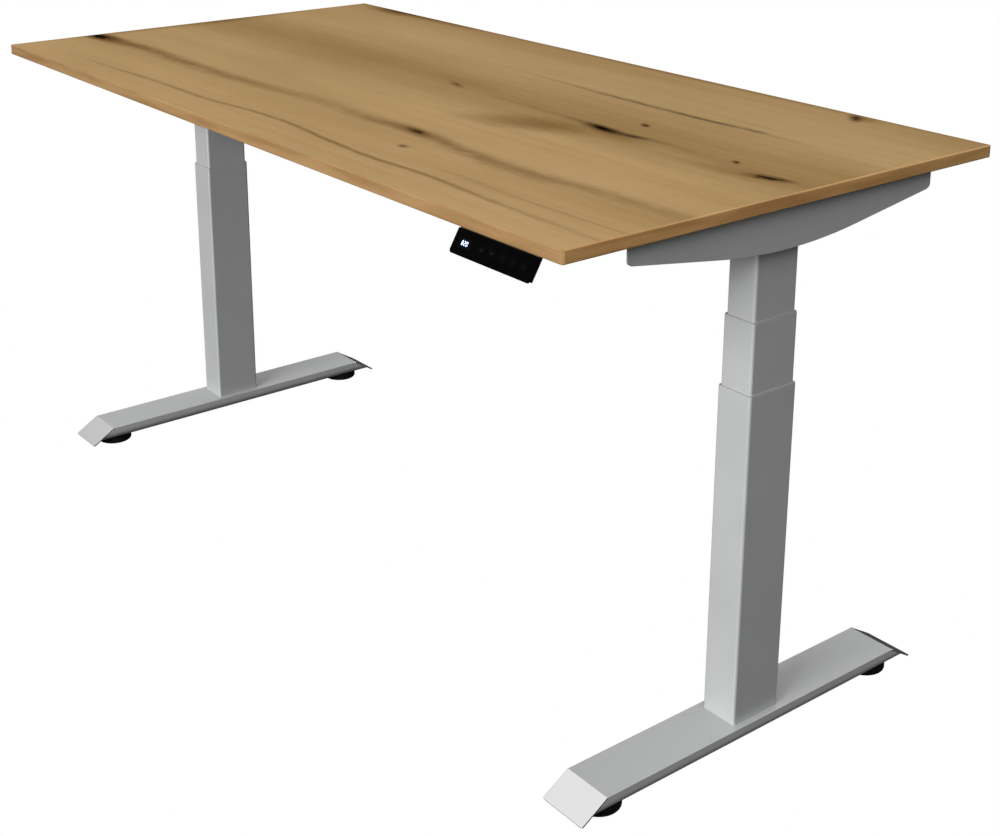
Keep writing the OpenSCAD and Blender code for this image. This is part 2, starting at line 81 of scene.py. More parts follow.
class Shader:
    """Builds the nodes of one material. A value is a number, a colour or another node's output."""

    def __init__(self, name):
        self.material = bpy.data.materials.new(name)
        self.material.use_nodes = True
        self.tree = self.material.node_tree
        self.bsdf = self.tree.nodes["Principled BSDF"]
        self.spot = self.add("ShaderNodeTexCoord").outputs["Object"]

    def add(self, kind, inputs=None, **settings):
        return add_node(self.tree, kind, inputs, **settings)

    def set(self, **values):
        for key, value in values.items():
            plug(self.tree, self.bsdf.inputs[key.replace("_", " ")], value)

    def math(self, operation, a, b=0.0, c=0.0):
        return self.add("ShaderNodeMath", {0: a, 1: b, 2: c}, operation=operation).outputs[0]

    def centred(self, noise):
        """Noise moved down so that its mean is 0."""
        return self.math("SUBTRACT", noise, 0.5)

    def axes(self):
        """X, Y and Z of the shaded point in the desk's own frame."""
        split = self.add("ShaderNodeSeparateXYZ", {0: self.spot})
        return split.outputs[0], split.outputs[1], split.outputs[2]

    def vector(self, x, y, z):
        return self.add("ShaderNodeCombineXYZ", {0: x, 1: y, 2: z}).outputs[0]

    def scaled(self, factors):
        """The shaded point with each axis multiplied by its own factor."""
        return self.add("ShaderNodeVectorMath", {0: self.spot, 1: factors}, operation="MULTIPLY").outputs[0]

    def noise(self, scale, detail=2.0, roughness=0.5, where=None):
        """Noise of about 0 to 1 around a mean of 0.5."""
        inputs = {"Vector": where or self.spot, "Scale": scale, "Detail": detail, "Roughness": roughness}
        return self.add("ShaderNodeTexNoise", inputs).outputs[0]

    def ease(self, value, low, high, at_low=0.0, at_high=1.0):
        """A smooth step of value from at_low to at_high."""
        inputs = {0: value, 1: low, 2: high, 3: at_low, 4: at_high}
        return self.add("ShaderNodeMapRange", inputs, interpolation_type="SMOOTHSTEP").outputs[0]

    def mix(self, factor, a, b):
        return self.add("ShaderNodeMix", {0: factor, 6: a, 7: b}, data_type="RGBA").outputs[2]

    def curve(self, value, points):
        """A smooth curve through points, each (value, result) with both from 0 to 1."""
        node = self.add("ShaderNodeFloatCurve", {0: 1.0, 1: value})
        line = node.mapping.curves[0]
        line.points[0].location = points[0]
        line.points[1].location = points[-1]
        for spot in points[1:-1]:
            line.points.new(*spot)
        node.mapping.update()
        return node.outputs[0]

    def bump(self, height, strength, distance, round_edges=0.0):
        """Bump on the surface. round_edges is the radius of a soft look on sharp edges."""
        inputs = {"Height": height, "Strength": strength, "Distance": distance}
        if round_edges:
            bevel = self.add("ShaderNodeBevel", {"Radius": round_edges}, samples=4)
            inputs["Normal"] = bevel.outputs[0]
        self.set(Normal=self.add("ShaderNodeBump", inputs).outputs[0])


def grey(level, tint=(1.0, 1.0, 1.0)):
    return (level * tint[0], level * tint[1], level * tint[2], 1.0)


# ---- Materials of the steel frame ----

def powder_coat(name, level, tint, round_edges):
    """Silver powder coat: fine metallic flake, a slight orange peel and faint tone changes."""
    s = Shader(name)
    cloud = s.noise(9.0, 3.0, 0.55)
    flake = s.noise(2600.0, 1.0, 0.5)
    tone = s.math("MULTIPLY_ADD", flake, 0.18, s.math("MULTIPLY_ADD", cloud, 0.10, 0.36))
    s.set(Base_Color=s.mix(s.ease(tone, 0.40, 0.60), grey(level * 0.93, tint), grey(level * 1.07, tint)))
    s.set(Metallic=0.25, Roughness=s.ease(cloud, 0.3, 0.7, 0.38, 0.44))
    s.set(Specular_IOR_Level=0.45, Coat_Weight=0.15, Coat_Roughness=0.30)
    peel = s.noise(520.0, 2.0, 0.5)
    s.bump(peel, 0.10, 0.0002, round_edges)
    return s.material


def bright_plate():
    """Polished silver plate of the foot ends, with a faint haze."""
    s = Shader("bright_plate_polish")
    cloud = s.noise(26.0, 2.0)
    s.set(Base_Color=s.mix(cloud, grey(0.60), grey(0.66)))
    s.set(Metallic=0.9, Roughness=s.ease(cloud, 0.3, 0.7, 0.14, 0.20))
    s.bump(s.noise(300.0, 2.0), 0.04, 0.0002, 0.0006)
    return s.material


def zinc():
    """Zinc plating with a faint patchy bloom."""
    s = Shader("zinc_plating")
    bloom = s.noise(420.0, 3.0, 0.6)
    s.set(Base_Color=s.mix(bloom, (0.48, 0.49, 0.50, 1.0), (0.66, 0.66, 0.64, 1.0)))
    s.set(Metallic=1.0, Roughness=s.ease(bloom, 0.3, 0.7, 0.26, 0.42))
    s.bump(bloom, 0.08, 0.0001)
    return s.material


def threaded_steel():
    """Oiled steel of the lifting screws, with the thread's ridges round the upright axis."""
    s = Shader("threaded_steel")
    ridge = s.math("PINGPONG", s.axes()[2], 0.002)
    smear = s.noise(60.0, 2.0)
    s.set(Base_Color=s.mix(smear, (0.36, 0.36, 0.35, 1.0), (0.52, 0.52, 0.50, 1.0)))
    s.set(Metallic=1.0, Roughness=0.32)
    s.bump(s.math("MULTIPLY", ridge, 500.0), 0.6, 0.001)
    return s.material


def drive_aluminium():
    """Drawn aluminium with fine lines along the tube."""
    s = Shader("drawn_aluminium")
    lines = s.noise(1.0, 2.0, 0.6, s.scaled((2400.0, 2400.0, 14.0)))
    s.set(Base_Color=s.mix(lines, (0.60, 0.61, 0.62, 1.0), (0.74, 0.75, 0.76, 1.0)))
    s.set(Metallic=1.0, Roughness=s.ease(lines, 0.3, 0.7, 0.25, 0.4))
    s.bump(lines, 0.12, 0.0001)
    return s.material


def gearbox_casting():
    """Sand-textured die casting under grey lacquer."""
    s = Shader("gearbox_casting")
    grain = s.noise(900.0, 3.0, 0.6)
    s.set(Base_Color=s.mix(grain, grey(0.055), grey(0.085)))
    s.set(Metallic=0.5, Roughness=s.ease(grain, 0.3, 0.7, 0.45, 0.62))
    s.bump(grain, 0.3, 0.0003, 0.0012)
    return s.material


def motor_paint():
    """Satin black lacquer on the motor's steel can."""
    s = Shader("motor_lacquer")
    cloud = s.noise(34.0, 3.0)
    s.set(Base_Color=s.mix(cloud, grey(0.016), grey(0.028)))
    s.set(Metallic=0.1, Roughness=s.ease(cloud, 0.3, 0.7, 0.30, 0.42))
    s.bump(s.noise(600.0, 2.0), 0.08, 0.0002)
    return s.material


# ---- Plastics and rubber ----

def moulded(name, level, rough_low, rough_high, grain_scale, grain_strength, round_edges=0.0):
    """Moulded plastic or rubber of one grey level, with an eroded grain."""
    s = Shader(name)
    grain = s.noise(grain_scale, 3.0, 0.6)
    haze = s.noise(40.0, 2.0)
    s.set(Base_Color=s.mix(haze, grey(level * 0.8), grey(level * 1.25)))
    s.set(Roughness=s.ease(haze, 0.3, 0.7, rough_low, rough_high), Specular_IOR_Level=0.12)
    s.bump(grain, grain_strength, 0.0002, round_edges)
    return s.material


def gloss_black(name, level, roughness):
    """Clear gloss over black, with a hint of handling haze."""
    s = Shader(name)
    haze = s.noise(70.0, 3.0, 0.6)
    s.set(Base_Color=s.mix(haze, grey(level * 0.8), grey(level * 1.2)))
    s.set(Roughness=s.ease(haze, 0.35, 0.7, roughness, roughness * 1.8), Specular_IOR_Level=0.008)
    s.bump(s.noise(25.0, 1.0), 0.02, 0.0002)
    return s.material


def display_window():
    """Dark tinted window with the faint upright lines of the display behind it."""
    s = Shader("display_window")
    half_pitch = 0.0005
    raster = s.math("PINGPONG", s.axes()[0], half_pitch)
    lines = s.math("MULTIPLY", raster, 1.0 / half_pitch)
    s.set(Base_Color=s.mix(lines, (0.0008, 0.0009, 0.0014, 1.0), (0.0014, 0.0016, 0.0030, 1.0)))
    s.set(Roughness=0.12, Specular_IOR_Level=0.05)
    return s.material


def digit_glow():
    """Bluish white light of the digits, faintly uneven."""
    s = Shader("digit_glow")
    light = s.mix(s.noise(900.0, 1.0), (0.55, 0.66, 1.0, 1.0), (0.75, 0.82, 1.0, 1.0))
    s.set(Base_Color=(0.5, 0.6, 0.9, 1.0), Roughness=0.4)
    s.set(Emission_Color=light, Emission_Strength=0.8)
    return s.material


def key_print():
    """Dim grey print of the signs on the keys."""
    s = Shader("key_print")
    wear = s.noise(1500.0, 2.0)
    s.set(Base_Color=s.mix(wear, grey(0.0025), grey(0.004)))
    s.set(Roughness=s.ease(wear, 0.3, 0.7, 0.35, 0.5), Specular_IOR_Level=0.05)
    return s.material


# ---- Oak decor ----

HALF_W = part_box("edge_bands")[1].x
HALF_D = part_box("edge_bands")[1].y

# Knots, holes and the darkest blotches of the back edge:
# x, y, half length, half width, turn in degrees, depth of tone
KNOTS = (
    (0.387, 0.030, 0.031, 0.0095, -7, 1.0),
    (0.235, -0.198, 0.022, 0.0075, -8, 0.72),
    (0.728, 0.016, 0.026, 0.0085, 16, 0.85),
    (0.411, 0.094, 0.010, 0.0050, -30, 0.75),
    (0.646, 0.042, 0.007, 0.0045, -40, 0.7),
    (0.002, 0.048, 0.022, 0.0060, -18, 0.42),
    (0.294, -0.264, 0.009, 0.0050, -10, 0.5),
    (-0.775, -0.230, 0.036, 0.0150, 4, 1.0),
    (0.574, 0.378, 0.020, 0.0085, -50, 0.70),
    (-0.660, 0.400, 0.080, 0.0130, 0, 0.60),
    (-0.415, 0.402, 0.040, 0.0080, 0, 0.50),
    (-0.285, 0.402, 0.040, 0.0080, 0, 0.45),
)
# Brown shadows round them and along the back and left edges, in the same form
SHADOWS = (
    (0.305, -0.030, 0.175, 0.062, 22, 0.66),
    (0.420, 0.016, 0.110, 0.034, -2, 0.60),
    (0.700, 0.006, 0.150, 0.034, 6, 0.42),
    (0.235, -0.200, 0.085, 0.024, 0, 0.40),
    (-0.740, -0.228, 0.120, 0.034, 0, 0.70),
    (-0.660, 0.385, 0.120, 0.034, 0, 0.85),
    (0.010, 0.075, 0.150, 0.040, 0, 0.22),
    (-0.560, 0.396, 0.300, 0.030, 0, 0.85),
    (0.200, 0.400, 0.700, 0.022, 0, 0.60),
    (-0.800, 0.040, 0.050, 0.120, 0, 0.75),
    (-0.805, -0.020, 0.042, 0.460, 0, 0.60),
    (0.585, 0.385, 0.050, 0.024, -20, 0.50),
)
# Lines along the grain: points (x, y), points (x, strength from 0 to 1), half width
BROAD_LINE = (
    ((-0.8, -0.232), (-0.6, -0.216), (-0.4, -0.221), (-0.2, -0.214), (0.0, -0.196), (0.1, -0.204),
     (0.235, -0.198), (0.36, -0.211), (0.5, -0.219), (0.65, -0.204), (0.8, -0.197)),
    ((-0.8, 1.0), (-0.6, 0.80), (-0.3, 0.62), (0.0, 0.42), (0.2, 0.70), (0.5, 0.60), (0.8, 0.40)), 0.028,
)
FRONT_LINE = (
    ((-0.8, -0.352), (-0.5, -0.345), (-0.35, -0.337), (-0.15, -0.334), (0.0, -0.319), (0.08, -0.319),
     (0.2, -0.329), (0.33, -0.335), (0.43, -0.330), (0.6, -0.338), (0.8, -0.341)),
    ((-0.8, 0.0), (-0.55, 0.2), (-0.35, 0.55), (0.0, 0.65), (0.2, 0.80), (0.45, 0.65), (0.8, 0.3)), 0.0085,
)
BACK_CRACK = (
    ((-0.8, 0.205), (0.0, 0.201), (0.2, 0.193), (0.35, 0.190), (0.45, 0.190), (0.54, 0.195), (0.6, 0.192),
     (0.8, 0.196)),
    ((-0.8, 0.0), (-0.1, 0.10), (0.15, 0.55), (0.3, 0.90), (0.5, 1.0), (0.57, 0.35), (0.7, 0.1),
     (0.8, 0.0)), 0.0100,
)
HOLE_TAIL = (
    ((-0.8, 0.04), (0.2, 0.038), (0.36, 0.034), (0.42, 0.029), (0.5, 0.036), (0.6, 0.028), (0.8, 0.026)),
    ((-0.8, 0.0), (0.1, 0.05), (0.34, 0.40), (0.40, 1.0), (0.47, 0.8), (0.54, 0.15), (0.8, 0.2)), 0.0140,
)
RIGHT_LINE = (
    ((-0.8, -0.30), (0.2, -0.296), (0.5, -0.300), (0.65, -0.303), (0.8, -0.298)),
    ((-0.8, 0.0), (0.3, 0.0), (0.55, 0.3), (0.8, 0.3)), 0.006,
)
# Broad darker bands along the board: middle (y), half width, how much darker
DARK_BANDS = (
    (0.06, 0.16, 0.40),
    (-0.24, 0.06, 0.12),
    (0.42, 0.14, 0.30),
)
# How dark the wood is between the bands, from 0, light, to 1, dark
BAND_BASE = 0.36

WOOD_LIGHT = (0.372, 0.251, 0.124, 1.0)
WOOD_DARK = (0.183, 0.108, 0.038, 1.0)
SHADOW_BROWN = (0.125, 0.064, 0.018, 1.0)
LINE_BROWN = (0.098, 0.050, 0.015, 1.0)
CRACK_GREY = (0.062, 0.048, 0.024, 1.0)
TAIL_BROWN = (0.030, 0.018, 0.010, 1.0)
HALO_BROWN = (0.060, 0.026, 0.007, 1.0)
CORE_BLACK = (0.003, 0.002, 0.001, 1.0)
PORE_BROWN = (0.11, 0.06, 0.025, 1.0)


def as_share(value, half):
    """Turns a place from -half to half into a share from 0 to 1."""
    return (value + half) / (2 * half)


class Oak(Shader):
    """Oak decor, with its grain along X and its knots at their places on the desk."""

    def __init__(self, name):
        super().__init__(name)
        self.x, self.y, self.z = self.axes()
        self.share_x = self.math("MULTIPLY_ADD", self.x, 0.5 / HALF_W, 0.5)
        self.wander = self.centred(self.noise(1.0, 3.0, 0.5, self.scaled((9.0, 30.0, 9.0))))
        self.ragged = self.centred(self.noise(1.0, 3.0, 0.6, self.scaled((60.0, 150.0, 60.0))))
        self.across = self.bent_grain()

    def reach(self, x, y, half_length, half_width, turn):
        """Distance from a spot, as 1 on an ellipse of that size."""
        c = math.cos(math.radians(turn))
        n = math.sin(math.radians(turn))
        dx = self.math("SUBTRACT", self.x, x)
        dy = self.math("SUBTRACT", self.y, y)
        along = self.math("MULTIPLY_ADD", dx, c / half_length, self.math("MULTIPLY", dy, n / half_length))
        over = self.math("MULTIPLY_ADD", dy, c / half_width, self.math("MULTIPLY", dx, -n / half_width))
        return self.math("SQRT", self.math("MULTIPLY_ADD", along, along, self.math("MULTIPLY", over, over)))

    def bent_grain(self):
        """The place across the grain, which bends round the knots and wanders slowly."""
        place = self.math("MULTIPLY_ADD", self.wander, 0.012, self.y)
        for x, y, half_length, half_width, turn, _ in KNOTS:
            reach = self.reach(x, y, 3.2 * half_length, 4.5 * half_width, turn)
            near = self.ease(reach, 0.0, 1.0, 0.75, 0.0)
            pull = self.math("MULTIPLY", near, self.math("SUBTRACT", self.y, y))
            place = self.math("SUBTRACT", place, pull)
        return place

    def grain(self, along, over, detail, roughness):
        """Noise drawn out along the grain: cycles in a metre along it and over it."""
        where = self.vector(
            self.math("MULTIPLY", self.x, along), self.math("MULTIPLY", self.across, over),
            self.math("MULTIPLY", self.z, over)
        )
        return self.noise(1.0, detail, roughness, where)

    def line(self, path, strength, half_width):
        """How strongly a line along the grain shows, from 0 to 1."""
        at = self.curve(self.share_x, [(as_share(x, HALF_W), as_share(y, HALF_D)) for x, y in path])
        place = self.math("MULTIPLY_ADD", at, 2 * HALF_D, -HALF_D)
        off = self.math("ABSOLUTE", self.math("SUBTRACT", self.y, place))
        off = self.math("MULTIPLY_ADD", self.ragged, -0.6 * half_width, off)
        shown = self.curve(self.share_x, [(as_share(x, HALF_W), s) for x, s in strength])
        patch = self.ease(self.noise(1.0, 2.0, 0.5, self.scaled((24.0, 60.0, 24.0))), 0.25, 0.6, 0.55, 1.0)
        inside = self.ease(off, 0.0, half_width, 1.0, 0.0)
        return self.math("MULTIPLY", self.math("MULTIPLY", shown, patch), inside)

    def spots(self, table, inner, outer, ragged):
        """The strongest of the elliptical spots in a table, from 0 to 1."""
        total = 0.0
        for x, y, half_length, half_width, turn, depth in table:
            reach = self.reach(x, y, half_length, half_width, turn)
            frayed = self.math("MULTIPLY_ADD", self.ragged, ragged, reach)
            total = self.math("MAXIMUM", self.ease(frayed, inner, outer, depth, 0.0), total)
        return total


def board_tone(s, broad, middle, fine):
    """How dark the bare wood is: broad bands, soft clouds and streaks, which are weaker at the left."""
    clouds = s.noise(1.0, 2.0, 0.5, s.scaled((2.2, 7.0, 2.2)))
    streaky = s.ease(s.share_x, 0.25, 0.65, 0.10, 0.30)
    tone = BAND_BASE
    for y, half_width, depth in DARK_BANDS:
        off = s.math("ABSOLUTE", s.math("SUBTRACT", s.y, y))
        tone = s.math("ADD", s.ease(off, 0.0, half_width, depth, 0.0), tone)
    tone = s.math("MULTIPLY_ADD", s.centred(clouds), 0.45, tone)
    tone = s.math("MULTIPLY_ADD", s.centred(broad), 0.35, tone)
    tone = s.math("MULTIPLY_ADD", s.centred(middle), streaky, tone)
    return s.math("MULTIPLY_ADD", s.centred(fine), streaky, tone)


def oak_decor():
    """The board's face, painted from the bare wood up to its knots and pores."""
    s = Oak("oak_decor")
    broad = s.grain(0.9, 11.0, 3.0, 0.5)
    middle = s.grain(1.6, 60.0, 3.0, 0.55)
    fine = s.grain(5.0, 420.0, 3.0, 0.6)
    wood = s.mix(board_tone(s, broad, middle, fine), WOOD_LIGHT, WOOD_DARK)
    wood = s.mix(s.spots(SHADOWS, inner=0.1, outer=1.0, ragged=0.5), wood, SHADOW_BROWN)
    brown = s.math("MAXIMUM", s.line(*FRONT_LINE), s.line(*RIGHT_LINE))
    brown = s.math("MAXIMUM", s.line(*BROAD_LINE), brown)
    wood = s.mix(s.math("MULTIPLY", brown, 0.88), wood, LINE_BROWN)
    wood = s.mix(s.math("MULTIPLY", s.line(*BACK_CRACK), 0.90), wood, CRACK_GREY)
    tail = s.line(*HOLE_TAIL)
    wood = s.mix(tail, wood, TAIL_BROWN)
    halo = s.spots(KNOTS, inner=0.6, outer=2.1, ragged=1.1)
    wood = s.mix(s.math("MULTIPLY", halo, 0.7), wood, HALO_BROWN)
    core = s.spots(KNOTS, inner=0.35, outer=1.10, ragged=1.8)
    wood = s.mix(core, wood, CORE_BLACK)
    pores = s.ease(s.grain(26.0, 1500.0, 1.0, 0.5), 0.60, 0.72)
    wood = s.mix(s.math("MULTIPLY", pores, 0.22), wood, PORE_BROWN)
    satin = s.ease(middle, 0.3, 0.7, 0.42, 0.52)
    rough = s.math("MAXIMUM", satin, s.math("MAXIMUM", core, tail))
    s.set(Base_Color=wood, Roughness=rough, Specular_IOR_Level=0.0)
    relief = s.math("SUBTRACT", s.math("MULTIPLY", fine, 0.4), s.math("MULTIPLY_ADD", core, 1.2, pores))
    s.bump(relief, 0.25, 0.00012)
    return s.material


def oak_edge():
    """Edge band: warmer than the face and browner in streaks. Its sides are painted lighter, as painted light, and
    its front darker, as painted shade.
    """
    s = Oak("oak_edge")
    fine = s.grain(4.0, 380.0, 3.0, 0.6)
    patch = s.noise(1.0, 3.0, 0.5, s.scaled((6.0, 6.0, 60.0)))
    tone = s.math("MULTIPLY_ADD", s.centred(fine), 0.5, s.ease(patch, 0.3, 0.7, 0.1, 0.75))
    # The lighter colours, used on the sides, hold painted light; the darker colours, used on the front, hold
    # painted shade
    light = s.mix(tone, (0.46, 0.265, 0.100, 1.0), (0.27, 0.130, 0.042, 1.0))
    dark = s.mix(tone, (0.250, 0.153, 0.068, 1.0), (0.156, 0.081, 0.029, 1.0))
    # The mask below is 1 on the front face, where the darker colours are painted on as shade
    front_painted_shade = s.ease(s.y, 0.001 - HALF_D, 0.003 - HALF_D, 1.0, 0.0)
    s.set(Base_Color=s.mix(front_painted_shade, light, dark), Roughness=0.45, Specular_IOR_Level=0.25)
    s.bump(fine, 0.15, 0.0001)
    return s.material


# ---- Finishes of the CAD nodes ----

SILVER = (0.985, 1.0, 1.0)


def make_finishes():
    """One material for each material slot of the record."""
    return {
        "silver_paint": powder_coat("silver_powder_coat", 0.385, SILVER, 0.0007),
        "rail_paint": powder_coat("rail_powder_coat", 0.36, SILVER, 0.0007),
        "bright_plate": bright_plate(),
        "zinc_fasteners": zinc(),
        "screw_steel": threaded_steel(),
        "drive_aluminium": drive_aluminium(),
        "gearbox_casting": gearbox_casting(),
        "motor_paint": motor_paint(),
        "glide_rubber": moulded("glide_rubber", 0.003, 0.55, 0.70, 700.0, 0.25),
        "bush_plastic": moulded("bush_plastic", 0.26, 0.45, 0.55, 900.0, 0.15),
        "block_plastic": moulded("block_plastic", 0.055, 0.40, 0.50, 700.0, 0.15),
        "black_plastic": moulded("black_plastic", 0.014, 0.45, 0.60, 1300.0, 0.25, 0.0008),
        "cable_jacket": moulded("cable_jacket", 0.011, 0.40, 0.50, 900.0, 0.10),
        "gloss_panel": gloss_black("gloss_panel", 0.0010, 0.07),
        "gloss_keys": gloss_black("gloss_keys", 0.0014, 0.10),
        "display_window": display_window(),
        "oak_decor": oak_decor(),
        "oak_edge": oak_edge(),
    }


FINISHES = make_finishes()


def paint_frame():
    """Gives every CAD node the finish of its material slot."""
    for part in frame["record"]["subparts"]:
        slots = NODES[part["node"]].data.materials
        slots.clear()
        slots.append(FINISHES[part["material_slot"]])


# ---- Mesh building ----

def finish_piece(name, bm, material, body):
    """Turns bm into a piece that rides on a body and has the given material."""
    bmesh.ops.recalc_face_normals(bm, faces=bm.faces)
    mesh = bpy.data.meshes.new(name)
    bm.to_mesh(mesh)
    bm.free()
    mesh.materials.append(material)
    mesh.shade_smooth()
    mesh.set_sharp_from_angle(angle=SMOOTH_ANGLE)
    piece = bpy.data.objects.new(name, mesh)
    bpy.context.scene.collection.objects.link(piece)
    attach(piece, body)
    return piece


def frame_at(origin, axis, side):
    """A local frame with Z along axis and X as near to side as it can be."""
    z = Vector(axis).normalized()
    x = (Vector(side) - z * z.dot(Vector(side))).normalized()
    turn = Matrix((x, z.cross(x), z)).transposed().to_4x4()
    return Matrix.Translation(origin) @ turn


def turned(bm, place, profile, lobes=6, steps=48):
    """Adds a turned solid about the local Z axis. profile lists (radius, height, depth of the lobes)."""
    rings = []
    for radius, height, depth in profile:
        if radius == 0:
            rings.append([bm.verts.new(place @ Vector((0, 0, height)))])
            continue
        ring = []
        for i in range(steps):
            a = 2 * math.pi * i / steps
            r = radius + depth * math.cos(lobes * a)
            ring.append(bm.verts.new(place @ Vector((r * math.cos(a), r * math.sin(a), height))))
        rings.append(ring)
    for low, high in zip(rings, rings[1:]):
        for i in range(steps):
            j = i + 1
            quad = [low[i % len(low)], low[j % len(low)], high[j % len(high)], high[i % len(high)]]
            bm.faces.new(list(dict.fromkeys(quad)))


def rounded_box(bm, place, size, radius, segments=3):
    """Adds a box with rounded edges, centred on the local origin."""
    scale = Matrix.Diagonal((*size, 1.0))
    made = bmesh.ops.create_cube(bm, size=1.0, matrix=scale)["verts"]
    edges = list({e for v in made for e in v.link_edges})
    result = bmesh.ops.bevel(bm, geom=edges, offset=radius, segments=segments, affect="EDGES", profile=0.5)
    verts = {v for f in result["faces"] for v in f.verts}
    bmesh.ops.transform(bm, matrix=place, verts=list(verts))


def plate(bm, place, outline, low, high):
    """Adds a flat solid with a straight-sided outline, from one local height to another."""
    rings = [[bm.verts.new(place @ Vector((x, y, z))) for x, y in outline] for z in (low, high)]
    count = len(outline)
    for i in range(count):
        j = (i + 1) % count
        bm.faces.new((rings[0][i], rings[0][j], rings[1][j], rings[1][i]))
    bm.faces.new(rings[0][::-1])
    bm.faces.new(rings[1])


def solids_of(node):
    """The (lowest corner, highest corner) of each separate solid of a CAD node."""
    bm = bmesh.new()
    bm.from_mesh(NODES[node].data)
    bmesh.ops.remove_doubles(bm, verts=bm.verts, dist=1e-5)
    todo = set(bm.verts)
    boxes = []
    while todo:
        front = [todo.pop()]
        island = list(front)
        while front:
            near = {e.other_vert(v) for v in front for e in v.link_edges} & todo
            todo -= near
            front = list(near)
            island += front
        low = Vector([min(v.co[k] for v in island) for k in range(3)])
        high = Vector([max(v.co[k] for v in island) for k in range(3)])
        boxes.append((low, high))
    bm.free()
    return sorted(boxes, key=lambda box: tuple(round(c, 4) for c in box[0]))


# ---- Fasteners ----

def socket_screw(bm, place, head_r, head_h, shank_r, length, socket_r):
    """Adds a screw with its seat at the local origin, its shank up along Z and its head below."""
    lobe = 0.12 * socket_r
    soft = 0.18 * head_h
    turned(bm, place, (
        (0, -0.35 * head_h, 0), (socket_r * 0.9, -0.35 * head_h, lobe), (socket_r, -0.95 * head_h, lobe),
        (socket_r * 1.12, -head_h, lobe * 0.6), (head_r - 2 * soft, -head_h, 0),
        (head_r - 0.6 * soft, -head_h + 0.5 * soft, 0), (head_r, -head_h + 1.6 * soft, 0),
        (head_r, -0.3 * soft, 0), (head_r - 0.3 * soft, 0, 0), (shank_r, 0, 0),
        (shank_r, length - shank_r, 0), (0.5 * shank_r, length, 0), (0, length, 0),
    ))


def screws_for(node, head_h, shank_share, socket_share, body):
    """Detailed screws in the place of a CAD node's plain ones. The head is at the lower or outer end."""
    bm = bmesh.new()
    for low, high in solids_of(node):
        size = high - low
        middle = (low + high) / 2
        upright = size.z > size.y
        axis = Vector((0, 0, 1)) if upright else Vector((0, -math.copysign(1, middle.y), 0))
        head_r = size.x / 2
        length = (size.z if upright else size.y) - head_h
        seat = middle - axis * (length / 2 - head_h / 2)
        place = frame_at(seat, axis, (1, 0, 0))
        socket_screw(bm, place, head_r, head_h, head_r * shank_share, length, head_r * socket_share)
    piece = finish_piece(node + "_detailed", bm, FINISHES["zinc_fasteners"], body)
    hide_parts(node)


def make_fasteners():
    screws_for("board_screws", head_h=0.0025, shank_share=0.4875, socket_share=0.42, body="top")
    screws_for("frame_bolts", head_h=0.0040, shank_share=0.59, socket_share=0.45, body="top")
    screws_for("foot_bolts", head_h=0.0060, shank_share=0.6077, socket_share=0.45, body="base")


# ---- Levelling glides ----

def make_glide(name):
    """A moulded glide: a domed rim, a fine groove above it, a hub with finger lobes and a threaded stud."""
    low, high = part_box(name)
    r = (high.x - low.x) / 2
    disc_h = 0.012
    hub_top = 0.0134
    stud_r = 0.004
    pitch = 0.00125
    recess = 0.0009
    rim_r = 0.003
    profile = [(0, recess, 0), (r * 0.80, recess, 0), (r * 0.84, 0.0, 0), (r - rim_r, 0.0, 0)]
    for i in range(1, 7):
        a = math.radians(15 * i)
        profile.append((r - rim_r + rim_r * math.sin(a), rim_r - rim_r * math.cos(a), 0))
    profile += [(r, 0.0081, 0), (r - 0.0005, 0.0085, 0), (r - 0.0005, 0.0089, 0), (r, 0.0093, 0)]
    profile += [(r, disc_h - 0.0012, 0), (r - 0.0004, disc_h - 0.0003, 0), (r - 0.0012, disc_h, 0)]
    profile += [(0.0118, disc_h, 0), (0.0112, disc_h + 0.0004, 0.0007), (0.0110, hub_top - 0.0004, 0.0007)]
    profile += [(0.0106, hub_top, 0.0006), (stud_r, hub_top, 0)]
    turns = int((high.z - hub_top) / pitch) - 1
    for i in range(turns):
        z = hub_top + pitch * (i + 0.5)
        profile += [(stud_r, z, 0), (stud_r - 0.0006, z + pitch / 2, 0)]
    profile += [(stud_r - 0.0006, high.z, 0), (0, high.z, 0)]
    bm = bmesh.new()
    place = Matrix.Translation(((low.x + high.x) / 2, (low.y + high.y) / 2, low.z))
    turned(bm, place, profile, steps=72)
    piece = finish_piece(name + "_moulded", bm, FINISHES["glide_rubber"], name)
    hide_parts(name)


# ---- Motors, control box and cables ----

def make_motor(side):
    """A motor can with a rolled seam, a ribbed end bell and two through bolts."""
    name = f"motor_{side}"
    low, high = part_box(name)
    inward = 1 if side == "left" else -1
    start = low.x if inward > 0 else high.x
    length = high.x - low.x
    r = (high.y - low.y) / 2
    bell = length - 0.012
    rib = 0.0003
    profile = [
        (0, 0, 0), (r, 0, 0), (r, 0.010, 0), (r - 0.0008, 0.011, 0), (r - 0.0008, 0.014, 0),
        (r, 0.015, 0), (r, bell - 0.014, 0), (r - 0.0010, bell - 0.012, 0),
        (r - 0.0010, bell - 0.010, 0), (r, bell - 0.009, 0), (r, bell - 0.002, 0),
        (r - 0.0006, bell - 0.0006, 0), (r - 0.002, bell, 0), (r - 0.004, bell, rib),
        (r - 0.0045, bell + 0.004, rib), (r - 0.006, length - 0.002, rib),
        (r - 0.008, length - 0.0003, 0), (r - 0.010, length, 0), (0.007, length, 0),
        (0.0065, length - 0.001, 0), (0, length - 0.001, 0),
    ]
    middle = (low + high) / 2
    bm = bmesh.new()
    can = frame_at((start, middle.y, middle.z), (inward, 0, 0), (0, 1, 0))
    turned(bm, can, profile, lobes=24, steps=96)
    for across in (-1, 1):
        spot = (start + inward * (bell + 0.0001), middle.y + across * 0.0215, middle.z)
        bolt = frame_at(spot, (-inward, 0, 0), (0, 1, 0))
        socket_screw(bm, bolt, head_r=0.0022, head_h=0.0016, shank_r=0.0010, length=0.002, socket_r=0.0011)
    piece = finish_piece(name + "_can", bm, FINISHES["motor_paint"], "top")
    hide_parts(name)


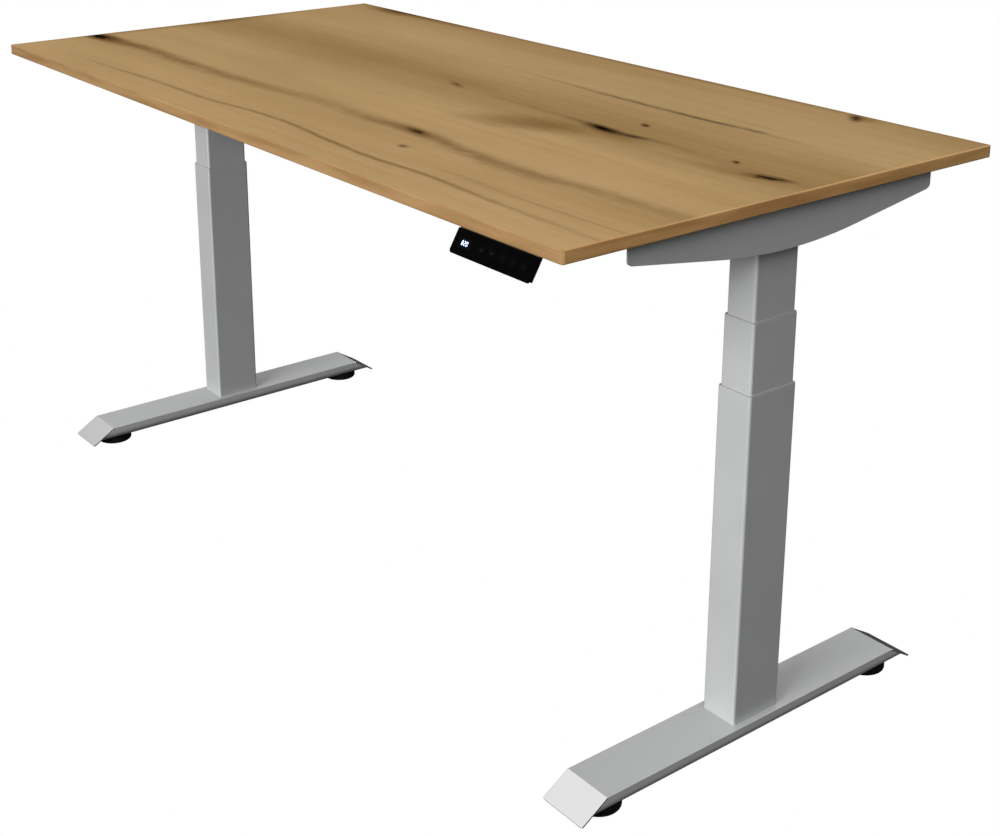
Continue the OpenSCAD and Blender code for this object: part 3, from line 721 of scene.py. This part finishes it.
def make_gearbox_screws(side):
    """Four cap screws that hold the motor's end plate on the gearbox."""
    low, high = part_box(f"gearbox_{side}")
    inward = 1 if side == "left" else -1
    face = high.x if inward > 0 else low.x
    bm = bmesh.new()
    for y in (low.y + 0.009, high.y - 0.009):
        for z in (low.z + 0.009, high.z - 0.008):
            place = frame_at((face, y, z), (-inward, 0, 0), (0, 1, 0))
            socket_screw(
                bm, place, head_r=0.0035, head_h=0.0022, shank_r=0.0018, length=0.004, socket_r=0.0017
            )
    finish_piece(f"gearbox_screws_{side}", bm, FINISHES["zinc_fasteners"], "top")


def make_box_details():
    """Ribs under the control box and its power light."""
    low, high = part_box("control_box")
    middle = (low + high) / 2
    rib_count = 9
    rib_pitch = 0.024
    ribs = bmesh.new()
    for i in range(rib_count):
        x = middle.x - (rib_count - 1) / 2 * rib_pitch + rib_pitch * i
        rounded_box(ribs, Matrix.Translation((x, middle.y, low.z)), (0.0024, 0.080, 0.0016), 0.0006)
    finish_piece("control_box_ribs", ribs, FINISHES["black_plastic"], "top")
    light = bmesh.new()
    turned(light, Matrix.Translation((high.x - 0.030, low.y + 0.020, low.z)), (
        (0, -0.0012, 0), (0.0012, -0.0009, 0), (0.0017, -0.0002, 0), (0.0017, 0.0004, 0), (0, 0.0004, 0)
    ))
    finish_piece("control_box_light", light, FINISHES["display_window"], "top")


def make_plug(name, tip, outward):
    """A moulded plug on the end face of the control box, with a ribbed strain relief on its cable."""
    bm = bmesh.new()
    place = frame_at(tip, outward, (0, 0, 1))
    rounded_box(bm, place @ Matrix.Translation((0, 0, 0.006)), (0.011, 0.014, 0.012), 0.0016)
    relief = [(0.0, 0.011, 0), (0.0046, 0.011, 0), (0.0046, 0.0125, 0)]
    for i in range(4):
        z = 0.0125 + 0.0024 * i
        r = 0.0044 - 0.0003 * i
        relief += [(r, z, 0), (r, z + 0.0014, 0), (r - 0.0008, z + 0.0016, 0), (r - 0.0008, z + 0.0023, 0)]
    relief += [(0.0027, 0.0224, 0), (0, 0.0224, 0)]
    turned(bm, place, relief, steps=32)
    finish_piece(name, bm, FINISHES["black_plastic"], "top")


def make_plugs():
    """A plug where each cable meets the end faces of the control box."""
    below_top = 0.016
    box_low, box_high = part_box("control_box")
    for low, high in solids_of("control_cables"):
        from_right = high.x > -low.x
        face_x = box_high.x if from_right else box_low.x
        cable_y = high.y - CABLE_R
        name = "plug_handset" if cable_y > (box_low.y + box_high.y) / 2 + 0.01 else "plug_motor"
        name += "_right" if from_right else "_left"
        end = Vector((face_x, cable_y, box_high.z - below_top))
        make_plug(name, end, (1 if from_right else -1, 0, 0))


# ---- Handset ----

# Signs run from just inside a face to just proud of it
SUNK = -0.00002
DIGIT_PROUD = 0.00010
PRINT_PROUD = 0.00004
# The lit bars of each digit
SEGMENTS = {"0": "abcdef", "1": "bc", "2": "abged", "3": "abgcd", "8": "abcdefg"}


def segment_outline(kind, w, h, t):
    """Outline of one bar of a seven segment digit of width w, height h and bar width t, centred on it."""
    m = t / 2
    gap = t * 0.12
    level = {"a": h / 2 - m, "g": 0.0, "d": -h / 2 + m}
    if kind in level:
        y = level[kind]
        reach = w / 2 - m - gap
        return [(-reach, y), (-reach + m, y - m), (reach - m, y - m), (reach, y), (reach - m, y + m),
                (-reach + m, y + m)]
    x = (w / 2 - m) * (1 if kind in "bc" else -1)
    top, low = (h / 2 - m - gap, gap) if kind in "bf" else (-gap, -h / 2 + m + gap)
    return [(x, top), (x - m, top - m), (x - m, low + m), (x, low), (x + m, low + m), (x + m, top - m)]


def add_digit(bm, place, digit, w, h, t, low, high):
    for kind in SEGMENTS[digit]:
        plate(bm, place, segment_outline(kind, w, h, t), low, high)


def face_frame():
    """The handset's face: local Z stands out of it, local X runs to the right."""
    joint = next(j for j in frame["joints"] if j["name"] == "key_up_press")
    out = -Vector(joint["axis"])
    low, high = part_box("handset_panel")
    corner = Vector(((low.x + high.x) / 2, low.y, low.z))
    return frame_at(corner, out, (1, 0, 0))


def on_face_of(node):
    """A frame at the middle of a CAD node's outer face, on the slope of the handset."""
    place = face_frame()
    local = place.inverted()
    points = [local @ v.co for v in NODES[node].data.vertices]
    top = max(p.z for p in points)
    x = (max(p.x for p in points) + min(p.x for p in points)) / 2
    y = (max(p.y for p in points) + min(p.y for p in points)) / 2
    return place @ Matrix.Translation((x, y, top))


def make_digits():
    """The height in centimetres, in glowing digits on the display window."""
    pitch, width, height, bar = 0.0044, 0.0033, 0.0062, 0.0009
    half_dot = 0.0003
    bm = bmesh.new()
    place = on_face_of("handset_display")
    for i, digit in enumerate("820"):
        shift = Matrix.Translation((pitch * (i - 1), 0, 0))
        add_digit(bm, place @ shift, digit, width, height, bar, SUNK, DIGIT_PROUD)
    dot = place @ Matrix.Translation((pitch / 2, -0.0028, 0))
    corners = [(-half_dot, -half_dot), (half_dot, -half_dot), (half_dot, half_dot), (-half_dot, half_dot)]
    plate(bm, dot, corners, SUNK, DIGIT_PROUD)
    finish_piece("display_digits", bm, digit_glow(), "top")


def make_key_signs():
    """Arrows on the lifting keys and numbers on the memory keys, printed just proud of each key."""
    printed = key_print()
    up = [(-0.0034, -0.0018), (0.0034, -0.0018), (0.0, 0.0026)]
    down = [(0.0034, 0.0018), (-0.0034, 0.0018), (0.0, -0.0026)]
    for key, sign in (("up", up), ("down", down), ("one", "1"), ("two", "2"), ("three", "3")):
        bm = bmesh.new()
        place = on_face_of(f"button_{key}")
        if isinstance(sign, str):
            add_digit(bm, place, sign, 0.0032, 0.0056, 0.0007, SUNK, PRINT_PROUD)
        else:
            plate(bm, place, sign, SUNK, PRINT_PROUD)
        finish_piece(f"key_sign_{key}", bm, printed, f"key_{key}")


# ---- Stage, lights and camera ----

def make_floor():
    """A floor that the camera sees as plain white, while it throws hardly any light on the desk."""
    s = Shader("stage_floor")
    cloud = s.noise(0.7, 2.0)
    dark = s.add("ShaderNodeBsdfDiffuse", {0: s.mix(cloud, grey(0.035), grey(0.045))})
    white = s.add("ShaderNodeEmission", {0: grey(1.0), 1: 1.0})
    choice = s.add("ShaderNodeMixShader", {0: s.add("ShaderNodeLightPath").outputs["Is Camera Ray"]})
    s.tree.links.new(dark.outputs[0], choice.inputs[1])
    s.tree.links.new(white.outputs[0], choice.inputs[2])
    s.tree.links.new(choice.outputs[0], s.tree.nodes["Material Output"].inputs["Surface"])
    bm = bmesh.new()
    bmesh.ops.create_circle(bm, cap_ends=True, segments=96, radius=40.0)
    mesh = bpy.data.meshes.new("floor")
    bm.to_mesh(mesh)
    bm.free()
    mesh.materials.append(s.material)
    floor = bpy.data.objects.new("floor", mesh)
    floor.location.z = -0.0005
    bpy.context.scene.collection.objects.link(floor)


def make_world():
    """A studio sky: dim towards the horizon and bright overhead, seen as plain white by the camera."""
    world = bpy.data.worlds.new("studio")
    world.use_nodes = True
    tree = world.node_tree
    direction = add_node(tree, "ShaderNodeTexCoord").outputs["Generated"]
    height = add_node(tree, "ShaderNodeSeparateXYZ", {0: direction}).outputs[2]
    rise = {0: height, 1: 0.36, 2: 0.62, 3: 0.24, 4: 1.15}
    sky = add_node(tree, "ShaderNodeMapRange", rise, interpolation_type="SMOOTHSTEP").outputs[0]
    seen = add_node(tree, "ShaderNodeLightPath").outputs["Is Camera Ray"]
    strength = add_node(tree, "ShaderNodeMapRange", {0: seen, 3: sky, 4: 1.0}).outputs[0]
    background = tree.nodes["Background"]
    background.inputs["Color"].default_value = grey(1.0)
    tree.links.new(strength, background.inputs["Strength"])
    bpy.context.scene.world = world


def softbox(name, spot, aim, width, height, power):
    """A rectangular soft light at spot that points at aim."""
    data = bpy.data.lights.new(name, "AREA")
    data.shape = "RECTANGLE"
    data.size = width
    data.size_y = height
    data.energy = power
    lamp = bpy.data.objects.new(name, data)
    lamp.location = spot
    lamp.rotation_euler = (Vector(aim) - Vector(spot)).to_track_quat("-Z", "Y").to_euler()
    bpy.context.scene.collection.objects.link(lamp)


def make_lights():
    """One large soft light in front of the desk."""
    softbox("front_light", spot=(1.7, -7.2, 3.0), aim=(0.0, 0.0, 0.5), width=4.6, height=3.0, power=1040.0)


def make_camera():
    """The photograph's viewpoint: from the front right, looking down over the desk."""
    tilt_down = 16.79
    turn_left = 52.266
    data = bpy.data.cameras.new("camera")
    data.sensor_width = 36.0
    data.lens = 57.52
    data.shift_x = 0.0176
    data.shift_y = -0.198
    data.clip_end = 200.0
    camera = bpy.data.objects.new("camera", data)
    camera.location = (2.0981, -1.5184, 1.3727)
    camera.rotation_euler = (math.radians(90 - tilt_down), 0.0, math.radians(turn_left))
    bpy.context.scene.collection.objects.link(camera)
    bpy.context.scene.camera = camera


make_camera()
make_world()
make_lights()
make_floor()
paint_frame()
make_fasteners()
for glide in [f"glide_{end}_{side}" for end in ("front", "rear") for side in SIDES]:
    make_glide(glide)
for side in SIDES:
    make_motor(side)
    make_gearbox_screws(side)
make_box_details()
make_plugs()
make_digits()
make_key_signs()
bpy.context.scene.view_settings.view_transform = "Standard"
